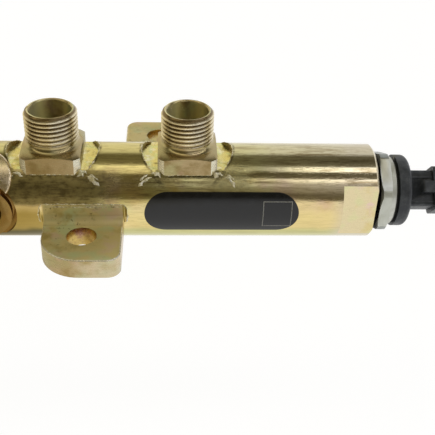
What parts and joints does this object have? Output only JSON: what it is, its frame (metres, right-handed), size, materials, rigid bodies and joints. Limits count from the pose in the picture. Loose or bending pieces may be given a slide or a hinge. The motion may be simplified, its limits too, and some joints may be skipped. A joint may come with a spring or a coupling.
{
  "type": "fuel rail",
  "caption": "Forged high-pressure common rail: thick tube with threaded outlet unions along the top, bolt lugs front and rear, front inlet port and an end-mounted pressure sensor.",
  "frame": {"origin": "midway between the two front bolt holes, on the plane that the lugs seat on", "axes": "+X along the rail towards the pressure sensor, +Z along the outlet unions, -Y the front with the inlet"},
  "size_m": [0.2866, 0.0971, 0.0482],
  "materials": {
    "zinc_yellow": "yellow zinc plated forging, machined faces, satin",
    "zinc_clear": "clear zinc plated, satin",
    "steel": "turned steel",
    "seal_iron": "soft iron sealing ring",
    "label_black": "black film label, left blank, satin",
    "plastic_black": "moulded glass-filled plastic, fine grain",
    "plastic_grey": "moulded",
    "board_green": "laminate",
    "seal_rubber": "moulded",
    "tinned_brass": "tin plated"
  },
  "bodies": {
    "root": {"end_plug": "zinc_yellow", "end_plug_seal": "seal_iron", "label": "label_black", "outlet_throttle_1": "steel", "outlet_throttle_2": "steel", "outlet_throttle_3": "steel", "outlet_throttle_4": "steel", "rail_body": "zinc_yellow", "sensor_board": "board_green", "sensor_body": "zinc_clear", "sensor_cell": "steel", "sensor_collar": "zinc_clear", "sensor_housing": "plastic_black", "sensor_o_ring": "seal_rubber", "sensor_spacer": "plastic_grey", "sensor_terminal_1": "tinned_brass", "sensor_terminal_2": "tinned_brass", "sensor_terminal_3": "tinned_brass"}
  },
  "joints": []
}
